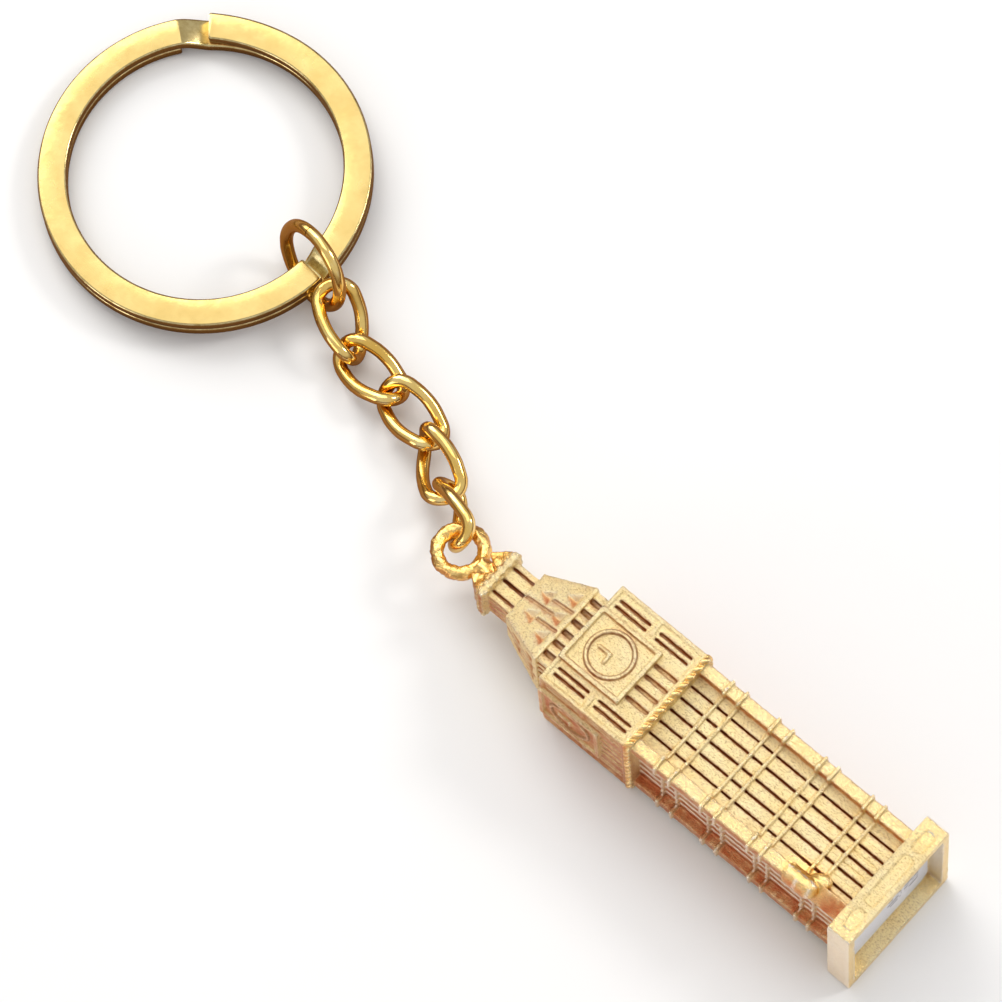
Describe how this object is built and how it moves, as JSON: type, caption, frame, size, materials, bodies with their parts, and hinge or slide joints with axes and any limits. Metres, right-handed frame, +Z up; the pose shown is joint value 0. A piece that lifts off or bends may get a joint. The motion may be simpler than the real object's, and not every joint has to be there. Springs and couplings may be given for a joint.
{
  "type": "souvenir key chain",
  "caption": "Flat split key ring on a short twisted-link chain that carries a small cast clock-tower charm with a loop on top.",
  "frame": {"origin": "under the middle of the bounding box, on the surface that the object lies on", "axes": "+X towards the tower's foot, +Z up from the surface, the tower's front face up"},
  "size_m": [0.1066, 0.0338, 0.0136],
  "materials": {
    "cast_gold": "matte gold plating on a rough zinc alloy casting",
    "plated_gold": "bright gold plating on steel wire",
    "label_paper": "white paper sticker"
  },
  "bodies": {
    "tower": {"tower": "cast_gold", "base_label": "label_paper"},
    "link_5": {"chain_link_5": "plated_gold"},
    "link_4": {"chain_link_4": "plated_gold"},
    "link_3": {"chain_link_3": "plated_gold"},
    "link_2": {"chain_link_2": "plated_gold"},
    "link_1": {"chain_link_1": "plated_gold"},
    "jump_ring": {"jump_ring": "plated_gold"},
    "split_ring": {"split_ring": "plated_gold"}
  },
  "joints": [
    {"name": "loop_swing", "type": "hinge", "parent": "tower", "child": "link_5", "pos_m": [0.00121, -0.00912, 0.00498], "axis": [-0.5666, -0.8238, -0.0186], "range_deg": [-14, 60]},
    {"name": "link_5_swing", "type": "hinge", "parent": "link_5", "child": "link_4", "pos_m": [-0.00245, -0.00603, 0.00279], "axis": [-0.6619, -0.4133, 0.6254], "range_deg": [-30, 5]},
    {"name": "link_4_swing", "type": "hinge", "parent": "link_4", "child": "link_3", "pos_m": [-0.0073, -0.00344, 0.00246], "axis": [-0.1078, 0.1224, 0.9866], "range_deg": [-18, 60]},
    {"name": "link_3_swing", "type": "hinge", "parent": "link_3", "child": "link_2", "pos_m": [-0.01267, -0.0024, 0.00216], "axis": [0.1016, 0.66, 0.7444], "range_deg": [-40, 18]},
    {"name": "link_2_swing", "type": "hinge", "parent": "link_2", "child": "link_1", "pos_m": [-0.01817, -0.00222, 0.00203], "axis": [0.0232, 0.6766, 0.736], "range_deg": [-22, 50]},
    {"name": "link_1_swing", "type": "hinge", "parent": "link_1", "child": "jump_ring", "pos_m": [-0.02234, 0.001, 0.00393], "axis": [0.5791, 0.7349, 0.353], "range_deg": [-6, 26]},
    {"name": "ring_swing", "type": "hinge", "parent": "jump_ring", "child": "split_ring", "pos_m": [-0.02462, 0.00111, 0.00436], "axis": [-0.2233, -0.9375, 0.2669], "range_deg": [-100, 8]}
  ]
}
